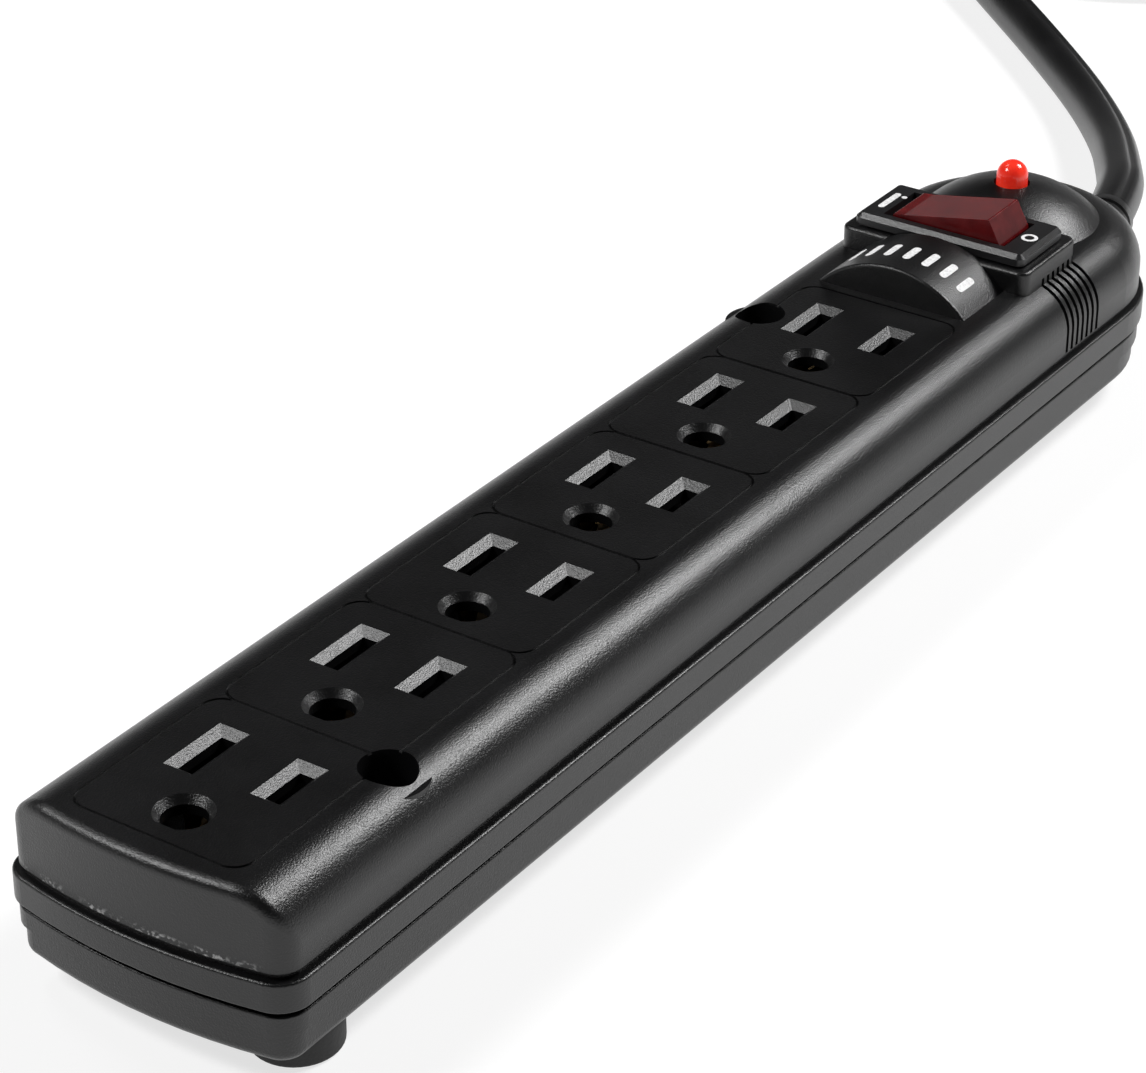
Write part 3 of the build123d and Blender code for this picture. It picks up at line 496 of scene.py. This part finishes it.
# ---- Switch
# A rocker of clear red polycarbonate in a black nylon bezel, with printed marks for on and off.
bezel_black, _ = moulding(
    "bezel_black", (0.009, 0.009, 0.0095), (0.015, 0.015, 0.016), 0.32, 4200.0, 3e-5
)
dress(bezel_black, "switch_housing")
rocker_red, rocker_shader, place = finish("rocker_red")
rocker_shader.inputs["Coat Weight"].default_value = 0.25
rocker_shader.inputs["Coat Roughness"].default_value = 0.08
rocker_shader.inputs["Subsurface Weight"].default_value = 0.1
rocker_shader.inputs["Subsurface Scale"].default_value = 0.004
rocker_shader.inputs["Subsurface Radius"].default_value = (1.0, 0.2, 0.2)
cloud = place.noise(380.0, 3.0)
cloud.over(0.25, 0.75).tint((0.075, 0.002, 0.003), (0.13, 0.005, 0.006)).into(rocker_shader, "Base Color")
(0.16 + cloud * 0.12).into(rocker_shader, "Roughness")
place.noise(2500.0, 2.0).bump(rocker_shader, 1e-5)
dress(rocker_red, "switch_rocker")

ink, ink_shader, place = finish("white_ink")
worn = place.noise(2600.0, 3.0)
worn.over(0.25, 0.6).tint((0.55, 0.55, 0.55), (0.86, 0.86, 0.86)).into(ink_shader, "Base Color")
(0.45 + worn * 0.15).into(ink_shader, "Roughness")
worn.bump(ink_shader, 1e-5)

bezel_low, bezel_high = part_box("switch_housing")
switch_x = (bezel_low.x + bezel_high.x) / 2
mark_y = bezel_high.y - 0.0024
ink_height = 0.00004


def pill(mesh, length, width, matrix):
    """A flat printed stroke with round ends along X, just proud of the surface under it."""
    made = bmesh.ops.create_circle(mesh, cap_ends=True, radius=width / 2, segments=20)
    for vert in made["verts"]:
        if abs(vert.co.x) > 1e-9:
            vert.co.x += math.copysign((length - width) / 2, vert.co.x)
    face = made["verts"][0].link_faces[0]
    up = bmesh.ops.extrude_face_region(mesh, geom=[face])
    raised = [g for g in up["geom"] if isinstance(g, bmesh.types.BMVert)]
    bmesh.ops.translate(mesh, vec=(0, 0, ink_height), verts=raised)
    bmesh.ops.transform(mesh, matrix=matrix, verts=made["verts"] + raised)


bar_length, bar_width = 0.0062, 0.0011
dot_length, dot_width = 0.00091, 0.0009
on_mark = bmesh.new()
top = bezel_high.z
pill(on_mark, bar_length, bar_width, Matrix.Translation((switch_x, mark_y, top)))
dot_place = Matrix.Translation((switch_x + 0.0022, mark_y - 0.0014, top))
pill(on_mark, dot_length, dot_width, dot_place)
piece("reset_mark", on_mark, ink)

ring_radius, ring_hole = 0.0013, 0.58  # the hole is a share of the ring's radius
off_mark = bmesh.new()
bmesh.ops.create_circle(off_mark, radius=ring_radius, segments=32)
band = bmesh.ops.extrude_edge_only(off_mark, edges=off_mark.edges[:])
inner = [g for g in band["geom"] if isinstance(g, bmesh.types.BMVert)]
bmesh.ops.scale(off_mark, vec=(ring_hole, ring_hole, 1), verts=inner)
bmesh.ops.solidify(off_mark, geom=off_mark.faces[:], thickness=ink_height)
bmesh.ops.translate(off_mark, vec=(switch_x, -mark_y, top + ink_height / 2), verts=off_mark.verts)
piece("off_mark", off_mark, ink)


# ---- Hood print
# Plain white strokes across the hood's arch, where a maker would print a name.
hood_chord, hood_rise = 0.0126, 0.0055
hood_radius = (hood_chord**2 + hood_rise**2) / (2 * hood_rise)
panel_top = 0.028
hood_centre = panel_top + hood_rise - hood_radius
hood_x = switch_x - 0.0147
stroke_count, widest_lean = 7, 33.0
stroke_length, stroke_width = 0.0046, 0.0013
print_mesh = bmesh.new()
for i in range(stroke_count):
    lean = math.radians(widest_lean * (2 * i / (stroke_count - 1) - 1))
    spot = Matrix.Translation((hood_x, 0, hood_centre)) @ Matrix.Rotation(-lean, 4, "X")
    pill(print_mesh, stroke_length, stroke_width, spot @ Matrix.Translation((0, 0, hood_radius)))
piece("hood_strokes", print_mesh, ink)


# ---- Power lamp
# A diffused red lamp in its hole at the top of the dome, lit.
lamp_red, lamp_shader, place = finish("lamp_red")
glow = place.noise(420.0, 2.0).over(0.3, 0.7)
glow.tint((0.62, 0.02, 0.012), (0.75, 0.035, 0.02)).into(lamp_shader, "Base Color")
glow.tint((0.8, 0.02, 0.01), (1.0, 0.05, 0.02)).into(lamp_shader, "Emission Color")
lamp_shader.inputs["Emission Strength"].default_value = 0.35
(0.10 + glow * 0.06).into(lamp_shader, "Roughness")
place.noise(1500.0, 2.0).bump(lamp_shader, 1e-5)
dress(lamp_red, "power_lamp")


# ---- Studio
# A white floor, a strong softbox high on the camera's right, a weaker one high on its left and a
# faint one beyond the strip, with dark surroundings above a pale horizon.
floor_paint, floor_shader, place = finish("floor_paint")
place.noise(6.0, 2.0).tint((0.34, 0.34, 0.34), (0.36, 0.36, 0.36)).into(floor_shader, "Base Color")
floor_shader.inputs["Roughness"].default_value = 0.9
floor_shader.inputs["Specular IOR Level"].default_value = 0.1
floor_shader.inputs["Emission Color"].default_value = (1, 1, 1, 1)
floor_shader.inputs["Emission Strength"].default_value = 0.72
floor_mesh = bmesh.new()
bmesh.ops.create_grid(floor_mesh, x_segments=1, y_segments=1, size=6.0)
floor_data = bpy.data.meshes.new("floor")
floor_mesh.to_mesh(floor_data)
floor_mesh.free()
floor_data.materials.append(floor_paint)
floor = bpy.data.objects.new("floor", floor_data)
bpy.context.scene.collection.objects.link(floor)


def softbox(name, towards, distance, size, radiance):
    """A square light that far away in that direction from the strip, facing it."""
    data = bpy.data.lights.new(name, "AREA")
    data.shape = "SQUARE"
    data.size = size
    data.energy = radiance * math.pi * size**2
    made = bpy.data.objects.new(name, data)
    bpy.context.scene.collection.objects.link(made)
    direction = Vector(towards).normalized()
    middle = Vector((-0.04, 0, 0.02))
    made.location = middle + direction * distance
    made.rotation_mode = "QUATERNION"
    made.rotation_quaternion = direction.to_track_quat("Z", "Y")


softbox("key_softbox", (0.64, -0.33, 0.69), 1.0, 0.30, 30.0)
softbox("left_softbox", (-0.45, 0.50, 0.74), 1.1, 0.34, 20.0)
softbox("top_softbox", (0.1, 0.53, 0.84), 1.2, 0.25, 6.0)

world = bpy.data.worlds.new("studio")
bpy.context.scene.world = world
world.use_nodes = True
sky = world.node_tree.nodes["Background"]
direction = world.node_tree.nodes.new("ShaderNodeTexCoord").outputs["Generated"]
around = Wire(world.node_tree, direction)
height = around.node("SeparateXYZ", {}, {"Vector": around}, output=2)
dim = 1 - height.over(0.12, 0.35)
seen = around.node("LightPath", {}, {}, output=0)
level = dim * 0.3 + 0.01
(level + seen * (1 - level)).tint((0, 0, 0), (1, 1, 1)).into(sky, "Color")
